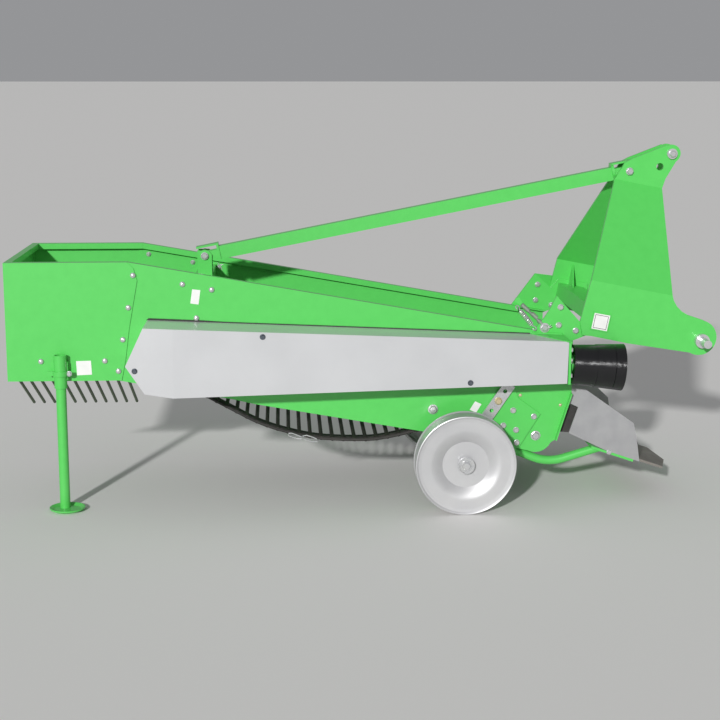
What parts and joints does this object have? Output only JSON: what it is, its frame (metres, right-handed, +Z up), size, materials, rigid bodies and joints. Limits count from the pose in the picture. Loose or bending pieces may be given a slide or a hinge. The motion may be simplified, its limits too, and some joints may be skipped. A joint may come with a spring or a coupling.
{
  "type": "potato harvester",
  "caption": "Rear-mounted single-row potato digger: a pointed share lifts the ridge onto a sloping rod web that sieves the soil and drops the crop through a rear box onto a side grate.",
  "frame": {"origin": "on the ground under the middle of the overall length, in the machine's centre plane", "axes": "+X points to the tractor, +Y to the machine's left, +Z up"},
  "size_m": [2.372, 0.95, 1.1939],
  "materials": {
    "green_paint": "gloss farm-machine green",
    "galvanised_sheet": "zinc coated, slightly cloudy",
    "zinc_steel": "bright zinc plated",
    "bare_steel": "mill scale, worn bright at the edges",
    "cast_housing": "dull grey casting",
    "black_plastic": "moulded guard, matt black",
    "web_rubber": "fabric-reinforced belt with steel rods"
  },
  "bodies": {
    "chassis": {"side_plate_right": "green_paint", "side_plate_left": "green_paint", "box_side_right": "green_paint", "box_side_left": "green_paint", "box_rear_wall": "green_paint", "cross_member": "green_paint", "strut_bracket": "green_paint", "top_strut": "green_paint", "strut_bolts": "zinc_steel", "headstock_right": "green_paint", "headstock_left": "green_paint", "cross_beam": "green_paint", "gusset_right": "green_paint", "gusset_left": "green_paint", "lower_pin_right": "zinc_steel", "lower_pin_left": "zinc_steel", "top_pin": "zinc_steel", "drive_cover": "galvanised_sheet", "pto_plate": "green_paint", "pto_guard": "black_plastic", "gearbox": "cast_housing", "web": "web_rubber", "front_roller": "bare_steel", "web_rollers": "bare_steel", "drive_shaft": "bare_steel", "shaft_bearing": "cast_housing", "share_blades": "bare_steel", "share_carrier": "green_paint", "share_cheek_right": "galvanised_sheet", "share_cheek_left": "galvanised_sheet", "brace_tube_right": "green_paint", "brace_tube_left": "green_paint", "wheel_leg_right": "zinc_steel", "wheel_leg_left": "zinc_steel", "leg_clamp_right": "green_paint", "leg_clamp_left": "green_paint", "stand_sleeve": "green_paint", "tine_grate": "green_paint"},
    "right_wheel": {"wheel_right": "galvanised_sheet"},
    "left_wheel": {"wheel_left": "galvanised_sheet"},
    "input_shaft": {"pto_shaft": "zinc_steel"},
    "parking_stand": {"stand_leg": "green_paint"}
  },
  "joints": [
    {"name": "right_wheel_turn", "type": "hinge", "parent": "chassis", "child": "right_wheel", "pos_m": [0.326, -0.431, 0.167], "axis": [0, 1, 0], "continuous": true},
    {"name": "left_wheel_turn", "type": "hinge", "parent": "chassis", "child": "left_wheel", "pos_m": [0.326, 0.431, 0.167], "axis": [0, 1, 0], "continuous": true},
    {"name": "input_shaft_turn", "type": "hinge", "parent": "chassis", "child": "input_shaft", "pos_m": [0.6633, -0.38, 0.488], "axis": [0.9995, 0, -0.0315], "continuous": true},
    {"name": "stand_lift", "type": "slide", "parent": "chassis", "child": "parking_stand", "axis": [0, 0, 1], "range_m": [0, 0.38]}
  ]
}
